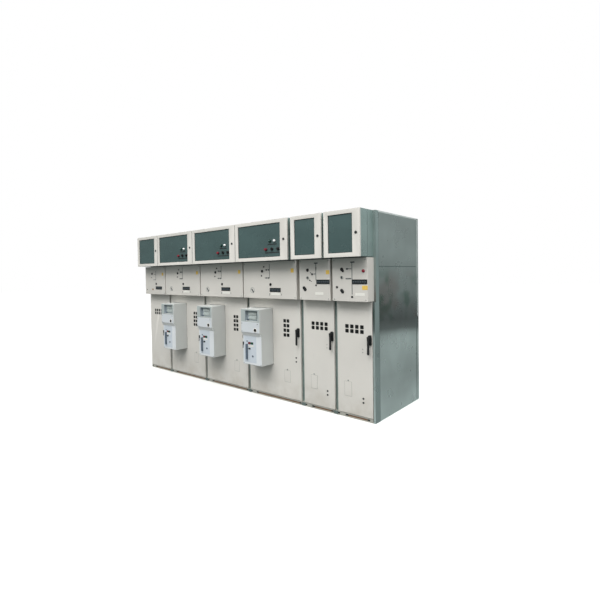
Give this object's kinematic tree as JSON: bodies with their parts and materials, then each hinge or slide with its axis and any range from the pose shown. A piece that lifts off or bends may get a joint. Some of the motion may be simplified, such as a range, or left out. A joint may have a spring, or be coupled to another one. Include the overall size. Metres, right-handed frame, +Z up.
{
  "type": "medium-voltage switchgear row",
  "caption": "Row of metal-enclosed switchgear bays with low-voltage boxes, mechanism covers, hinged cable doors with lever handles and breaker housings that stand out of their doors.",
  "frame": {"origin": "centre of the bounding box on the floor", "axes": "+X along the row to the right seen from the front, +Y from the front to the back, +Z up"},
  "size_m": [3.548, 1.217, 1.9],
  "materials": {
    "painted_sheet": "satin fine-textured powder coat",
    "galvanised_sheet": "hot-dip galvanised, dull",
    "frame_steel": "matte",
    "pane": "satin",
    "black_plastic": "moulded",
    "breaker_paint": "satin",
    "terminal_plastic": "moulded",
    "lever_plastic": "moulded",
    "indicator": "gloss",
    "white_lens": "gloss",
    "green_lens": "gloss",
    "red_plastic": "gloss"
  },
  "bodies": {
    "cabinet": {"base_rails": "galvanised_sheet", "base_cross_bars": "galvanised_sheet", "front_posts": "frame_steel", "partition_walls": "galvanised_sheet", "left_end_panel": "galvanised_sheet", "right_end_panel": "galvanised_sheet", "rear_panels": "galvanised_sheet", "roof_panels": "galvanised_sheet", "floor_plates": "galvanised_sheet", "compartment_shelves": "galvanised_sheet", "door_lintels": "frame_steel", "hinge_pins": "frame_steel", "mechanism_cover_1": "painted_sheet", "mechanism_cover_2": "painted_sheet", "mechanism_cover_3": "painted_sheet", "mechanism_cover_4": "painted_sheet", "mechanism_cover_5": "painted_sheet", "mechanism_cover_6": "painted_sheet", "lever_sockets": "black_plastic", "voltage_displays": "black_plastic", "lv_boxes": "galvanised_sheet", "lv_door_1": "painted_sheet", "lv_door_2": "painted_sheet", "lv_door_3": "painted_sheet", "lv_door_4": "painted_sheet", "lv_door_5": "painted_sheet", "lv_door_6": "painted_sheet", "lv_panes": "pane", "lv_locks": "black_plastic", "white_lamps": "white_lens", "green_lamps": "green_lens", "red_buttons": "red_plastic", "black_buttons": "black_plastic", "cable_door_2": "painted_sheet", "cable_door_3": "painted_sheet", "cable_door_4": "painted_sheet", "sight_panes": "pane", "handle_plates": "black_plastic", "handle_levers": "black_plastic", "breaker_housing_2": "breaker_paint", "breaker_housing_3": "breaker_paint", "breaker_housing_4": "breaker_paint", "breaker_brackets": "galvanised_sheet", "breaker_terminals": "terminal_plastic", "charging_levers": "lever_plastic", "indicator_windows": "indicator"},
    "door_1": {"cable_door_1": "painted_sheet", "sight_pane_1": "pane", "handle_plate_1": "black_plastic"},
    "handle_1": {"handle_lever_1": "black_plastic"},
    "door_5": {"cable_door_5": "painted_sheet", "sight_pane_5": "pane", "handle_plate_5": "black_plastic"},
    "handle_5": {"handle_lever_5": "black_plastic"},
    "door_6": {"cable_door_6": "painted_sheet", "sight_pane_6": "pane", "handle_plate_6": "black_plastic"},
    "handle_6": {"handle_lever_6": "black_plastic"}
  },
  "joints": [
    {"name": "door_1_hinge", "type": "hinge", "parent": "cabinet", "child": "door_1", "pos_m": [-1.74, -0.379, 0.5625], "axis": [0, 0, -1], "range_deg": [0, 100]},
    {"name": "handle_1_turn", "type": "hinge", "parent": "door_1", "child": "handle_1", "pos_m": [-1.302, -0.4055, 0.762], "axis": [0, 1, 0], "range_deg": [0, 90]},
    {"name": "door_5_hinge", "type": "hinge", "parent": "cabinet", "child": "door_5", "pos_m": [1.02, -0.379, 0.5625], "axis": [0, 0, -1], "range_deg": [0, 100]},
    {"name": "handle_5_turn", "type": "hinge", "parent": "door_5", "child": "handle_5", "pos_m": [1.339, -0.4055, 0.762], "axis": [0, 1, 0], "range_deg": [0, 90]},
    {"name": "door_6_hinge", "type": "hinge", "parent": "cabinet", "child": "door_6", "pos_m": [1.407, -0.379, 0.5625], "axis": [0, 0, -1], "range_deg": [0, 100]},
    {"name": "handle_6_turn", "type": "hinge", "parent": "door_6", "child": "handle_6", "pos_m": [1.726, -0.4055, 0.762], "axis": [0, 1, 0], "range_deg": [0, 90]}
  ]
}
